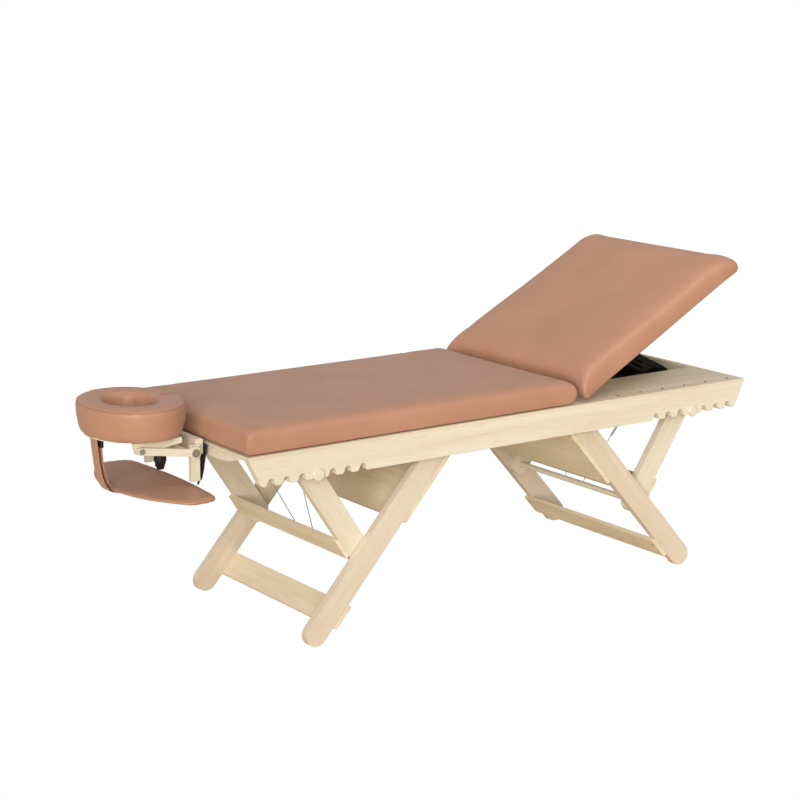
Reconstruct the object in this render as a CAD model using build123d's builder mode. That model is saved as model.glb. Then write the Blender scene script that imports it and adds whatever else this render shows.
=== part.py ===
# Wooden massage bed on two notched, height-adjustable leg sets, with a propped backrest
# at the foot end and a face cradle with a hanging armrest at the head end.
# +X points from the head end to the backrest end, +Z is up, and the floor is z = 0.
import os
from math import asin, atan2, cos, degrees, hypot, radians, sin, sqrt, tan

from build123d import *

os.makedirs("parts", exist_ok=True)

# Table frame
table_length = 1850.0
table_width = 711.0
deck_height = 591.0
deck_thickness = 8.0
rail_depth = 80.5
rail_thickness = 25.0
rail_end_slant = 40.0
rail_end_round = 13.0
cradle_reach = 326.0

# Hooked notches at each end of a rail
notch_count = 7
first_notch = 551.5
notch_pitch = 50.5
notch_rise = 10.5
notch_lean = 22.0
notch_relief = 5.0
tooth_ease = 3.5
notch_sides = 16
used_notch = 3

# Dowel that hooks into the notches
dowel_radius = 10.0
dowel_gap = 0.3
dowel_cap_radius = 18.0
dowel_cap_thickness = 8.0
dowel_cap_gap = 0.5
cap_ease = 2.0

# Legs and braces
board_width = 70.0
board_thickness = 25.0
edge_ease = 2.0
leg_pivot_offset = 246.0
leg_pivot_drop = 48.0
leg_length = 678.0
foot_centre_height = 34.0
brace_pivot_distance = 412.6
side_gap = 2.0
brace_rod_radius = 9.0
brace_rod_bite = 20.0
bolt_radius = 5.0
bolt_bite = 17.0
bolt_head_radius = 11.0
bolt_head_height = 6.0
bolt_head_gap = 0.5
pin_clearance = 0.05

# Boards across the leg sets
gusset_thickness = 12.0
gusset_start = 10.0
gusset_end = 263.0
lower_stretcher_width = 78.0
lower_stretcher_thickness = 13.0
lower_stretcher_start = 554.0
upper_stretcher_width = 67.0
upper_stretcher_thickness = 12.0
upper_stretcher_start = 31.0
screw_head_radius = 3.8
screw_head_rise = 0.7
screw_sides = 6
hidden_sides = 12
stay_sides = 8
leg_screw_places = (40.0, 110.0, 180.0, 245.0)
stretcher_screw_places = (574.0, 612.0)

# Stays between each brace rod and the deck
stay_radius = 2.0
stay_rod_place = 45.0
stay_deck_place = 160.0
stay_batten_place = 135.0
stay_reach = 670.0
stay_eye_ring = 5.0
stay_eye_wire = 1.5
stay_gap = 0.3

# Beams under the deck
end_beam_thickness = 18.0
end_beam_depth = 28.0
end_beam_flat = 194.0
end_beam_bend = 247.0
end_beam_bend_rise = 5.0
end_beam_top_place = 314.0
end_beam_rise = 24.0
hinge_beam_start = 290.0
hinge_beam_width = 40.0
hinge_beam_half_length = 270.0
hinge_beam_depth = 30.0

# Opening in the deck, with its toothed racks
opening_start = 560.0
opening_end = 906.0
opening_half_width = 120.0
batten_width = 30.0
batten_depth = 38.0
batten_start = 545.0
batten_end = 900.0
rack_thickness = 8.0
rack_start = 640.0
rack_end = 895.0
rack_depth = 27.0
rack_tip_gap = 0.5
rack_pitch = 24.0
rack_tooth_depth = 9.0
rack_tooth_lean = 5.0
deck_screw_count = 6
deck_screw_start = 418.0
deck_screw_step = 92.0
deck_screw_edge = 30.0

# Backrest and its two butt hinges
hinge_offset = 273.0
hinge_leaf_thickness = 2.0
hinge_leaf_gap = 0.15
hinge_leaf_length = 60.0
hinge_leaf_reach = 30.0
hinge_knuckle_radius = 5.0
hinge_knuckle_gap = 0.6
hinge_pin_radius = 2.0
hinge_spacing = 200.0
hinge_slot_gap = 1.0
backrest_tilt = 29.0
backrest_length = 715.0
backrest_setback = 6.0
backrest_board_thickness = 9.0
backrest_board_start = 14.0
backrest_board_end = 676.0
backrest_board_inset = 26.0
backrest_board_corner = 45.0

# Prop between the backrest and the racks
prop_radius = 297.0
prop_drop = 14.0
prop_arm_width = 18.0
prop_arm_thickness = 5.0
prop_arm_plane = 102.0
prop_pin_radius = 4.0
prop_foot_radius = 6.0
prop_foot_reach = 119.0
prop_cross_radius = 4.0
prop_cross_place_share = 0.42
finger_width = 8.0
finger_offsets = (20.0, 36.0)
finger_tips = (146.0, 134.0)
finger_root = 215.0
web_start = 196.0
web_end = 262.0
bracket_thickness = 3.0
bracket_width = 15.0
bracket_flange_length = 40.0
bracket_gap = 0.5
prop_pocket_margin = 6.0

# Cushions
cushion_thickness = 72.0
main_end_offset = 246.0
head_overhang = 3.0
cushion_bow = 3.0
level_shares = (0.0, 0.08, 0.25, 0.50, 0.76, 0.89, 0.98, 1.04, 1.08)
side_inset_shares = (0.03, 0.0, 0.0, 0.0, 0.045, 0.14, 0.33, 0.85, 1.7)
nose_inset_shares = (0.36, 0.21, 0.06, 0.0, 0.07, 0.19, 0.42, 0.95, 1.8)
hinge_inset_shares = (0.02, 0.0, 0.0, 0.05, 0.20, 0.34, 0.56, 1.05, 1.9)
main_corner_shares = (0.10, 0.10, 0.10, 0.10, 0.12, 0.17, 0.24, 0.36, 0.5)
backrest_corner_shares = (0.28, 0.32, 0.42, 0.60, 0.80, 0.86, 0.86, 0.86, 0.86)

# Face cradle, measured from the middle of the table
base_bar_start = 938.0
base_bar_width = 24.0
base_bar_half_length = 128.0
base_bar_drop = 31.0
base_bar_rise = 13.0
base_rod_radius = 8.0
base_rod_place = 100.0
base_rod_drop = 22.0
base_rod_end = 895.0
base_rod_bite = 14.0
post_start = 955.0
post_width = 29.0
post_thickness = 12.0
post_drop = 104.0
post_rise = 1.0
cradle_pivot_offset = 976.0
cradle_pivot_drop = 19.0
cradle_side_gap = 1.0
cradle_arm_thickness = 12.0
cradle_arm_end_radius = 18.5
cradle_arm_depth = 21.0
platform_pivot_offset = 1143.0
platform_pivot_rise = 8.0
cradle_bolt_radius = 4.0
cradle_bolt_head_radius = 12.0
cradle_bolt_head_height = 5.0
platform_bolt_head_radius = 8.0
cross_bar_start = 996.0
cross_bar_width = 20.0
cross_bar_drop = 25.0
cross_bar_height = 20.0
knob_offset = 1006.0
knob_foot_drop = 92.0
knob_head_drop = 45.0
knob_radius = 18.0
knob_foot_radius = 10.0
knob_skirt_share = 0.45
knob_stud_radius = 4.0
knob_stud_rise = 4.0
platform_rail_inside = 127.0
platform_rail_start = 1010.0
platform_rail_end = 1160.0
platform_rail_back_rise = 13.0
platform_rail_radius = 12.0
platform_rise = 29.0
platform_thickness = 12.0
platform_start = 1000.0
platform_end = 1235.0
platform_half_width = 150.0
platform_corner = 30.0
face_hole_half_length = 60.0
face_hole_half_width = 82.0
ring_offset = 1096.0
ring_half_length = 146.0
ring_half_width = 184.0
ring_hole_half_length = 64.0
ring_hole_half_width = 88.0
ring_thickness = 85.0
oval_end_share = 0.86
ring_level_shares = (0.0, 0.14, 0.45, 0.78, 0.91, 0.975, 1.0)
ring_side_inset_shares = (0.12, 0.07, 0.02, 0.0, 0.015, 0.07, 0.16)
ring_hole_flare_shares = (0.05, 0.0, 0.0, 0.03, 0.10, 0.20, 0.33)

# Armrest hung below the cradle
armrest_front = 1154.0
armrest_rear = 947.0
armrest_front_corner = 1042.0
armrest_rear_corner = 966.0
armrest_half_width = 276.0
armrest_rear_half_width = 262.0
armrest_corner_round = 30.0
armrest_drop = 135.0
armrest_thickness = 14.0
armrest_edge_ease = 3.0
strap_width = 40.0
strap_thickness = 2.5
strap_slot_offset = 1137.0
strap_slot_gap = 1.0
strap_gap = 0.5
strap_outline = ((1228.0, 27.0), (1216.0, -33.0), (1161.0, -117.0))
strap_inner_outline = ((1180.0, -4.0), (1196.0, 15.0))
rear_strap_place = 165.0
rear_strap_thickness = 2.0
rear_strap_top_start = 925.0
rear_strap_top_end = 949.0
rear_strap_bottom_start = 968.0
rear_strap_bottom_end = 976.0

overrun = 4.0

# Places that follow from the sizes above
table_x = cradle_reach / 2
half_length = table_length / 2
half_width = table_width / 2
deck_bottom = deck_height - deck_thickness
rail_bottom = deck_bottom - rail_depth
rail_inside = half_width - rail_thickness
leg_outside = rail_inside - side_gap
leg_inside = leg_outside - board_thickness
brace_outside = leg_inside - side_gap
brace_inside = brace_outside - board_thickness
board_radius = board_width / 2
notch_radius = dowel_radius + dowel_gap
notch_height = rail_bottom + notch_rise
dowel_offset = first_notch + used_notch * notch_pitch
base_bar_bottom = deck_height - base_bar_drop
base_bar_top = deck_height + base_bar_rise
base_rod_height = deck_height - base_rod_drop
post_bottom = deck_height - post_drop
post_top = deck_height + post_rise
cradle_pivot_height = deck_height - cradle_pivot_drop
platform_pivot_height = deck_height + platform_pivot_rise
cross_bar_bottom = deck_height - cross_bar_drop
knob_bottom = deck_height - knob_foot_drop
knob_top = deck_height - knob_head_drop
platform_rail_back_bottom = deck_height + platform_rail_back_rise
platform_bottom = deck_height + platform_rise
armrest_bottom = deck_height - armrest_drop
leg_pivot_height = deck_height - leg_pivot_drop
leg_angle = degrees(asin((leg_pivot_height - foot_centre_height) / leg_length))


def side_plane(y):
    """A plane at y that faces the near side, with X across it and Z up it."""
    return Plane(origin=(0, y, 0), x_dir=(1, 0, 0), z_dir=(0, -1, 0))


def export(part, name):
    """Label a finished piece and write it under its own name."""
    part.label = name
    export_step(part, "parts/" + name + ".step")


def leg_point(side, along, across):
    """A place on a leg: along it from its pivot, and across towards its inner, lower edge."""
    slope = radians(leg_angle)
    x = leg_pivot_offset + along * cos(slope) - across * sin(slope)
    return (table_x + side * x, leg_pivot_height - along * sin(slope) - across * cos(slope))


def stay_eye(side, sign):
    """The middle of the ring that holds a stay: under the deck, or under a rack batten."""
    if side > 0:
        place = (stay_batten_place, deck_bottom - batten_depth)
    else:
        place = (stay_deck_place, deck_bottom)
    return (table_x + side * stay_reach, sign * place[0], place[1] - stay_eye_ring - stay_eye_wire)


brace_foot = leg_point(1, brace_pivot_distance, 0)
brace_run = table_x + dowel_offset - brace_foot[0]
brace_climb = notch_height - brace_foot[1]
brace_length = hypot(brace_run, brace_climb)
brace_angle = degrees(atan2(brace_climb, brace_run))


def brace_point(side, along, across):
    """A place on a brace: along it from its rod, and across towards its outer, lower edge."""
    slope = radians(brace_angle)
    foot = leg_point(side, brace_pivot_distance, 0)
    x = along * cos(slope) + across * sin(slope)
    return (foot[0] + side * x, foot[1] + along * sin(slope) - across * cos(slope))


def rim_edges(part):
    """The outer edges of the two faces that look along Y."""
    ends = part.faces().filter_by(Axis.Y).sort_by(Axis.Y)
    return list(ends[0].outer_wire().edges()) + list(ends[-1].outer_wire().edges())


def across_box(x_low, x_high, z_low, z_high, y_far, length):
    """A square-edged bar from y_far towards the near side."""
    with BuildPart() as bar:
        with BuildSketch(side_plane(y_far)):
            with Locations(((x_low + x_high) / 2, (z_low + z_high) / 2)):
                Rectangle(abs(x_high - x_low), z_high - z_low)
        extrude(amount=length)
    return bar.part


# Side rails
def notch_points(side, offset):
    """The mouth of one hooked notch, which opens down and towards the table's end."""
    x = table_x + side * offset
    lean = radians(notch_lean)
    relief = radians(notch_relief)
    outer = (x + side * notch_radius * cos(lean), notch_height + notch_radius * sin(lean))
    inner = (x - side * notch_radius * cos(relief), notch_height + notch_radius * sin(relief))
    foot = rail_bottom - overrun
    outer_foot = (outer[0] + side * (outer[1] - foot) * tan(lean), foot)
    inner_foot = (inner[0] - side * (inner[1] - foot) * tan(relief), foot)
    return (outer, outer_foot, inner_foot, inner)


def build_rail(y_start, y_inside, turn, name):
    """A side rail with slanted ends and a row of notches at each end."""
    with BuildPart() as rail:
        with BuildSketch(side_plane(y_start)) as profile:
            with BuildLine():
                Polyline(
                    (table_x - half_length, deck_bottom),
                    (table_x + half_length, deck_bottom),
                    (table_x + half_length - rail_end_slant, rail_bottom),
                    (table_x - half_length + rail_end_slant, rail_bottom),
                    close=True,
                )
            make_face()
            fillet(profile.vertices().group_by(Axis.Y)[0], rail_end_round)
            for side in (-1, 1):
                for index in range(notch_count):
                    offset = first_notch + index * notch_pitch
                    with Locations((table_x + side * offset, notch_height)):
                        RegularPolygon(notch_radius, notch_sides, major_radius=False,
                                       mode=Mode.SUBTRACT)
                    with BuildLine():
                        Polyline(*notch_points(side, offset), close=True)
                    make_face(mode=Mode.SUBTRACT)
            last_tooth = first_notch + (notch_count - 1) * notch_pitch + 2 * notch_radius
            corners = [corner for corner in profile.vertices()
                       if corner.Y < rail_bottom + pin_clearance
                       and abs(corner.X - table_x) < last_tooth]
            chamfer(corners, tooth_ease)
        extrude(amount=rail_thickness)
        for side in (-1, 1):
            place = (table_x + side * leg_pivot_offset, y_inside, leg_pivot_height)
            with Locations(Location(place, (turn, 0, 0))):
                Cylinder(bolt_radius, bolt_bite, align=(Align.CENTER, Align.CENTER, Align.MIN),
                         mode=Mode.SUBTRACT)
    export(rail.part, name)


build_rail(-rail_inside, -rail_inside, 90, "rail_near")
build_rail(half_width, rail_inside, -90, "rail_far")

# Deck
hinge_x = table_x + hinge_offset
hinge_z = deck_height + hinge_leaf_thickness + hinge_leaf_gap
hinge_places = (-hinge_spacing, hinge_spacing)
slot_width = 2 * (hinge_knuckle_radius + hinge_slot_gap)
slot_length = hinge_leaf_length + 2 * hinge_slot_gap
with BuildPart() as deck:
    with BuildSketch(Plane.XY.offset(deck_bottom)):
        with Locations((table_x, 0)):
            Rectangle(table_length, table_width)
        with Locations((table_x + (opening_start + opening_end) / 2, 0)):
            Rectangle(opening_end - opening_start, 2 * opening_half_width, mode=Mode.SUBTRACT)
        with Locations(*[(hinge_x, y) for y in hinge_places]):
            Rectangle(slot_width, slot_length, mode=Mode.SUBTRACT)
    extrude(amount=deck_thickness)
export(deck.part, "deck")

# End beams, arched at both ends so that the legs fold past them
beam_bottom = deck_bottom - end_beam_depth
beam_side = beam_bottom + end_beam_rise
beam_bend = beam_bottom + end_beam_bend_rise
for side, name in ((-1, "head_end_beam"), (1, "foot_end_beam")):
    start = table_x + half_length - end_beam_thickness if side > 0 else table_x - half_length
    with BuildPart() as end_beam:
        with BuildSketch(Plane(origin=(start, 0, 0), x_dir=(0, 1, 0), z_dir=(1, 0, 0))):
            with BuildLine():
                Polyline(
                    (-end_beam_flat, beam_bottom),
                    (end_beam_flat, beam_bottom),
                    (end_beam_bend, beam_bend),
                    (end_beam_top_place, beam_side),
                    (rail_inside, beam_side),
                    (rail_inside, deck_bottom),
                    (-rail_inside, deck_bottom),
                    (-rail_inside, beam_side),
                    (-end_beam_top_place, beam_side),
                    (-end_beam_bend, beam_bend),
                    close=True,
                )
            make_face()
            if side < 0:
                with Locations((-base_rod_place, base_rod_height), (base_rod_place, base_rod_height)):
                    Circle(base_rod_radius, mode=Mode.SUBTRACT)
        extrude(amount=end_beam_thickness)
        slopes = [edge for edge in end_beam.edges().filter_by(Axis.X)
                  if abs(abs(edge.center().Y) - end_beam_bend) < side_gap]
        fillet(slopes, end_beam_depth)
    export(end_beam.part, name)

hinge_beam = across_box(table_x + hinge_beam_start, table_x + hinge_beam_start + hinge_beam_width,
                        deck_bottom - hinge_beam_depth, deck_bottom, hinge_beam_half_length,
                        2 * hinge_beam_half_length)
export(hinge_beam, "hinge_beam")

with BuildPart() as rack_battens:
    for y_far in (opening_half_width + batten_width, -opening_half_width):
        with BuildSketch(side_plane(y_far)):
            with Locations((table_x + (batten_start + batten_end) / 2,
                            deck_bottom - batten_depth / 2)):
                Rectangle(batten_end - batten_start, batten_depth)
        extrude(amount=batten_width)
export(rack_battens.part, "rack_battens")

rack_tip = hinge_z - prop_foot_radius - rack_tip_gap
rack_tooth_count = int((rack_end - rack_start) / rack_pitch)
rack_points = []
for index in range(rack_tooth_count):
    x = table_x + rack_start + index * rack_pitch
    rack_points.append((x, rack_tip - rack_tooth_depth))
    rack_points.append((x + rack_pitch - rack_tooth_lean, rack_tip))
rack_points.append((table_x + rack_start + rack_tooth_count * rack_pitch,
                    rack_tip - rack_tooth_depth))
rack_points.append((table_x + rack_end, rack_tip - rack_tooth_depth))
rack_points.append((table_x + rack_end, rack_tip - rack_depth))
rack_points.append((table_x + rack_start, rack_tip - rack_depth))
for y_far, name in ((-opening_half_width + rack_thickness, "rack_near"),
                    (opening_half_width, "rack_far")):
    with BuildPart() as rack:
        with BuildSketch(side_plane(y_far)):
            with BuildLine():
                Polyline(*rack_points, close=True)
            make_face()
        extrude(amount=rack_thickness)
    export(rack.part, name)

screw_line = half_width - deck_screw_edge
with BuildPart() as deck_screws:
    with BuildSketch(Plane.XY.offset(deck_height)):
        for sign in (-1, 1):
            for index in range(deck_screw_count):
                x = table_x + deck_screw_start + index * deck_screw_step
                with Locations((x, sign * screw_line)):
                    RegularPolygon(screw_head_radius, screw_sides)
    extrude(amount=screw_head_rise)
export(deck_screws.part, "deck_screws")

with BuildPart() as leg_pivot_bolts:
    for side in (-1, 1):
        pivot = leg_point(side, 0, 0)
        for sign in (-1, 1):
            head = sign * (leg_inside - bolt_head_gap)
            tip = sign * (rail_inside + bolt_bite)
            with BuildSketch(side_plane(max(head, tip))):
                with Locations(pivot):
                    RegularPolygon(bolt_radius, hidden_sides)
            extrude(amount=abs(tip - head))
            with BuildSketch(side_plane(head if sign > 0 else head + bolt_head_height)):
                with Locations(pivot):
                    RegularPolygon(bolt_head_radius, 6)
            extrude(amount=bolt_head_height)
export(leg_pivot_bolts.part, "leg_pivot_bolts")


# Leg sets
def build_leg(side, outside, bore_face, bore_turn, name):
    """One leg with rounded ends, its foot cut flat on the floor."""
    pivot = leg_point(side, 0, 0)
    rod = leg_point(side, brace_pivot_distance, 0)
    foot = leg_point(side, leg_length, 0)
    with BuildPart() as leg:
        with BuildSketch(side_plane(outside)):
            with Locations(((pivot[0] + foot[0]) / 2, (pivot[1] + foot[1]) / 2)):
                SlotCenterToCenter(leg_length, board_width, rotation=-side * leg_angle)
            with Locations((foot[0], 0)):
                Rectangle(2 * board_width, board_radius, align=(Align.CENTER, Align.MAX),
                          mode=Mode.SUBTRACT)
            with Locations(pivot):
                Circle(bolt_radius + pin_clearance, mode=Mode.SUBTRACT)
        extrude(amount=board_thickness)
        with Locations(Location((rod[0], bore_face, rod[1]), (bore_turn, 0, 0))):
            Cylinder(brace_rod_radius, brace_rod_bite,
                     align=(Align.CENTER, Align.CENTER, Align.MIN), mode=Mode.SUBTRACT)
    export(leg.part, name)


def build_cross_board(middle, turn, width, thickness, half_span, name):
    """A board across a leg set, flat on the edges of its two boards."""
    with BuildPart() as board:
        with BuildSketch(side_plane(half_span)):
            with Locations(middle):
                Rectangle(width, thickness, rotation=turn)
        extrude(amount=2 * half_span)
    export(board.part, name)


def build_brace(side, outside, name):
    """One brace between the rod in the legs and the dowel in the notches."""
    rod = brace_point(side, 0, 0)
    top = brace_point(side, brace_length, 0)
    with BuildPart() as brace:
        with BuildSketch(side_plane(outside)):
            with Locations(((rod[0] + top[0]) / 2, (rod[1] + top[1]) / 2)):
                SlotCenterToCenter(brace_length, board_width, rotation=side * brace_angle)
            with Locations(rod):
                Circle(brace_rod_radius + pin_clearance, mode=Mode.SUBTRACT)
            with Locations(top):
                Circle(dowel_radius, mode=Mode.SUBTRACT)
        extrude(amount=board_thickness)
    export(brace.part, name)


def build_leg_set(side, word):
    """Legs, braces, boards, rod, dowel, screws and stays of one end."""
    build_leg(side, -leg_inside, -leg_inside, 90, word + "_leg_near")
    build_leg(side, leg_outside, leg_inside, -90, word + "_leg_far")
    gusset_middle = leg_point(side, (gusset_start + gusset_end) / 2,
                              board_radius + gusset_thickness / 2)
    build_cross_board(gusset_middle, -side * leg_angle, gusset_end - gusset_start,
                      gusset_thickness, leg_outside, word + "_gusset")
    lower_middle = leg_point(side, lower_stretcher_start + lower_stretcher_width / 2,
                             board_radius + lower_stretcher_thickness / 2)
    build_cross_board(lower_middle, -side * leg_angle, lower_stretcher_width,
                      lower_stretcher_thickness, leg_outside, word + "_lower_stretcher")

    rod = leg_point(side, brace_pivot_distance, 0)
    rod_half = leg_inside + brace_rod_bite
    with BuildPart() as brace_rod:
        with BuildSketch(side_plane(rod_half)):
            with Locations(rod):
                Circle(brace_rod_radius)
        extrude(amount=2 * rod_half)
    export(brace_rod.part, word + "_brace_rod")

    slope = radians(leg_angle)
    normal = (-side * sin(slope), 0, -cos(slope))
    column = (leg_outside + leg_inside) / 2
    gusset_face = leg_point(side, 0, board_radius + gusset_thickness)
    stretcher_face = leg_point(side, 0, board_radius + lower_stretcher_thickness)
    with BuildPart() as leg_screws:
        for face, places in ((gusset_face, leg_screw_places),
                             (stretcher_face, stretcher_screw_places)):
            with BuildSketch(Plane(origin=(face[0], 0, face[1]), x_dir=(0, 1, 0), z_dir=normal)):
                for place in places:
                    with Locations((-column, side * place), (column, side * place)):
                        RegularPolygon(screw_head_radius, screw_sides)
            extrude(amount=screw_head_rise)
    export(leg_screws.part, word + "_leg_screws")

    build_brace(side, -brace_inside, word + "_brace_near")
    build_brace(side, brace_outside, word + "_brace_far")
    upper_middle = brace_point(side, upper_stretcher_start + upper_stretcher_width / 2,
                               board_radius + upper_stretcher_thickness / 2)
    build_cross_board(upper_middle, side * brace_angle, upper_stretcher_width,
                      upper_stretcher_thickness, brace_outside, word + "_upper_stretcher")

    top = brace_point(side, brace_length, 0)
    cap_start = half_width + dowel_cap_gap
    with BuildPart() as dowel:
        with BuildSketch(side_plane(cap_start)):
            with Locations(top):
                Circle(dowel_radius)
        extrude(amount=2 * cap_start)
        for y_far in (cap_start + dowel_cap_thickness, -cap_start):
            with BuildSketch(side_plane(y_far)):
                with Locations(top):
                    Circle(dowel_cap_radius)
            extrude(amount=dowel_cap_thickness)
        chamfer(rim_edges(dowel), cap_ease)
    export(dowel.part, word + "_dowel")

    with BuildPart() as springs:
        for sign in (-1, 1):
            low = Vector(rod[0], sign * stay_rod_place, rod[1])
            high = Vector(*stay_eye(side, sign))
            run = (high - low).normalized()
            level = hypot(run.X, run.Z)
            lead = (brace_rod_radius + stay_gap + stay_radius * abs(run.Y)) / level
            start = low + run * lead
            stop = high - run * (stay_eye_ring + stay_eye_wire + stay_gap)
            with BuildSketch(Plane(origin=start, z_dir=run)):
                RegularPolygon(stay_radius, stay_sides)
            extrude(amount=(stop - start).length)
    export(springs.part, word + "_springs")


build_leg_set(-1, "head")
build_leg_set(1, "foot")

with BuildPart() as spring_eyes:
    for side in (-1, 1):
        for sign in (-1, 1):
            eye = stay_eye(side, sign)
            with BuildSketch(side_plane(eye[1] + stay_eye_wire)):
                with Locations((eye[0], eye[2])):
                    RegularPolygon(stay_eye_ring + stay_eye_wire, hidden_sides)
                    RegularPolygon(stay_eye_ring - stay_eye_wire, hidden_sides, mode=Mode.SUBTRACT)
            extrude(amount=2 * stay_eye_wire)
export(spring_eyes.part, "spring_eyes")


# Backrest hinges
tilt = radians(backrest_tilt)
backrest_lift = hinge_leaf_thickness + hinge_leaf_gap


def backrest_point(along, above):
    """A place on the tilted backrest: along it from the hinge axis, and above that line."""
    return (hinge_x + along * cos(tilt) - above * sin(tilt),
            hinge_z + along * sin(tilt) + above * cos(tilt))


knuckle_length = (hinge_leaf_length - 2 * hinge_knuckle_gap) / 3
knuckle_step = knuckle_length + hinge_knuckle_gap
leaf_start = hinge_knuckle_radius + hinge_slot_gap / 2
leaf_middle = (leaf_start + hinge_leaf_reach) / 2
with BuildPart() as hinge_deck_leaves:
    for place in hinge_places:
        far_end = place + hinge_leaf_length / 2
        for y_far in (far_end, far_end - 2 * knuckle_step):
            with BuildSketch(side_plane(y_far)):
                with Locations((hinge_x, hinge_z)):
                    RegularPolygon(hinge_knuckle_radius, hidden_sides)
                with Locations((hinge_x + leaf_start / 2, hinge_z - hinge_leaf_gap
                                - hinge_leaf_thickness / 2)):
                    Rectangle(leaf_start, hinge_leaf_thickness)
                with Locations((hinge_x, hinge_z)):
                    RegularPolygon(hinge_pin_radius + pin_clearance, hidden_sides,
                                   major_radius=False, mode=Mode.SUBTRACT)
            extrude(amount=knuckle_length)
        with BuildSketch(side_plane(far_end)):
            with Locations((hinge_x + leaf_middle, deck_height + hinge_leaf_thickness / 2)):
                Rectangle(hinge_leaf_reach - leaf_start, hinge_leaf_thickness)
        extrude(amount=hinge_leaf_length)
export(hinge_deck_leaves.part, "hinge_deck_leaves")

leaf_above = hinge_leaf_gap + hinge_leaf_thickness / 2
with BuildPart() as hinge_board_leaves:
    for place in hinge_places:
        far_end = place + hinge_leaf_length / 2
        with BuildSketch(side_plane(far_end - knuckle_step)):
            with Locations((hinge_x, hinge_z)):
                RegularPolygon(hinge_knuckle_radius, hidden_sides)
            with Locations(backrest_point(leaf_start / 2, leaf_above)):
                Rectangle(leaf_start, hinge_leaf_thickness, rotation=backrest_tilt)
            with Locations((hinge_x, hinge_z)):
                RegularPolygon(hinge_pin_radius, hidden_sides, mode=Mode.SUBTRACT)
        extrude(amount=knuckle_length)
        with BuildSketch(side_plane(far_end)):
            with Locations(backrest_point(leaf_middle, leaf_above)):
                Rectangle(hinge_leaf_reach - leaf_start, hinge_leaf_thickness,
                          rotation=backrest_tilt)
        extrude(amount=hinge_leaf_length)
export(hinge_board_leaves.part, "hinge_board_leaves")

with BuildPart() as hinge_pins:
    for place in hinge_places:
        with BuildSketch(side_plane(place + hinge_leaf_length / 2)):
            with Locations((hinge_x, hinge_z)):
                RegularPolygon(hinge_pin_radius, hidden_sides)
        extrude(amount=hinge_leaf_length)
export(hinge_pins.part, "hinge_pins")


# Cushions
def build_pillow(base, low, high, low_shares, high_shares, low_corners, high_corners):
    """A padded block with a crown, lofted through its levels on a given plane."""
    with BuildPart() as pillow:
        for level, side_share, low_share, high_share, low_corner, high_corner in zip(
                level_shares, side_inset_shares, low_shares, high_shares, low_corners, high_corners):
            x_low = low + low_share * cushion_thickness
            x_high = high - high_share * cushion_thickness
            span = half_width - side_share * cushion_thickness
            middle = (x_low + x_high) / 2
            with BuildSketch(base.offset(level * cushion_thickness)) as section:
                with BuildLine():
                    ThreePointArc((x_low, -span), (middle, -span + cushion_bow), (x_high, -span))
                    Line((x_high, -span), (x_high, span))
                    ThreePointArc((x_high, span), (middle, span - cushion_bow), (x_low, span))
                    Line((x_low, span), (x_low, -span))
                make_face()
                fillet(section.vertices().group_by(Axis.X)[0], low_corner * cushion_thickness)
                fillet(section.vertices().group_by(Axis.X)[-1], high_corner * cushion_thickness)
        loft(ruled=True)
    return pillow.part


main_cushion = build_pillow(
    Plane.XY.offset(deck_height), table_x - half_length - head_overhang,
    table_x + main_end_offset, side_inset_shares, nose_inset_shares,
    main_corner_shares, main_corner_shares)
export(main_cushion, "main_cushion")

backrest_plane = Plane(origin=(hinge_x, 0, hinge_z), x_dir=(cos(tilt), 0, sin(tilt)),
                       z_dir=(-sin(tilt), 0, cos(tilt))).offset(backrest_lift)
back_pillow = build_pillow(
    backrest_plane, backrest_setback, backrest_length, hinge_inset_shares, side_inset_shares,
    main_corner_shares, backrest_corner_shares)
board_middle = (backrest_board_start + backrest_board_end) / 2
board_length = backrest_board_end - backrest_board_start
board_across = table_width - 2 * backrest_board_inset
with BuildPart() as backrest_cushion:
    add(back_pillow)
    with BuildSketch(backrest_plane):
        with Locations((board_middle, 0)):
            RectangleRounded(board_length, board_across, backrest_board_corner)
    extrude(amount=backrest_board_thickness, mode=Mode.SUBTRACT)
export(backrest_cushion.part, "backrest_cushion")

prop_along = sqrt(prop_radius ** 2 - prop_drop ** 2)
pocket_start = prop_along + prop_radius / 2 - 2 * prop_arm_width
pocket_end = 2 * prop_along + prop_arm_width / 2 + prop_pocket_margin
with BuildPart() as backrest_board:
    with BuildSketch(backrest_plane):
        with Locations((board_middle, 0)):
            RectangleRounded(board_length, board_across, backrest_board_corner)
        with Locations(((pocket_start + pocket_end) / 2, 0)):
            Rectangle(pocket_end - pocket_start, 2 * (prop_foot_reach + prop_pocket_margin),
                      mode=Mode.SUBTRACT)
    extrude(amount=backrest_board_thickness)
export(backrest_board.part, "backrest_board")

# Prop
prop_top = backrest_point(prop_along, -prop_drop)
prop_foot = (2 * prop_top[0] - hinge_x, hinge_z)
prop_slope = atan2(prop_top[1] - prop_foot[1], prop_foot[0] - prop_top[0])
prop_turn = -degrees(prop_slope)


def prop_point(along, below):
    """A place on the prop: along it from its top pivot, and below its centre line."""
    return (prop_top[0] + along * cos(prop_slope) - below * sin(prop_slope),
            prop_top[1] - along * sin(prop_slope) - below * cos(prop_slope))


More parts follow.
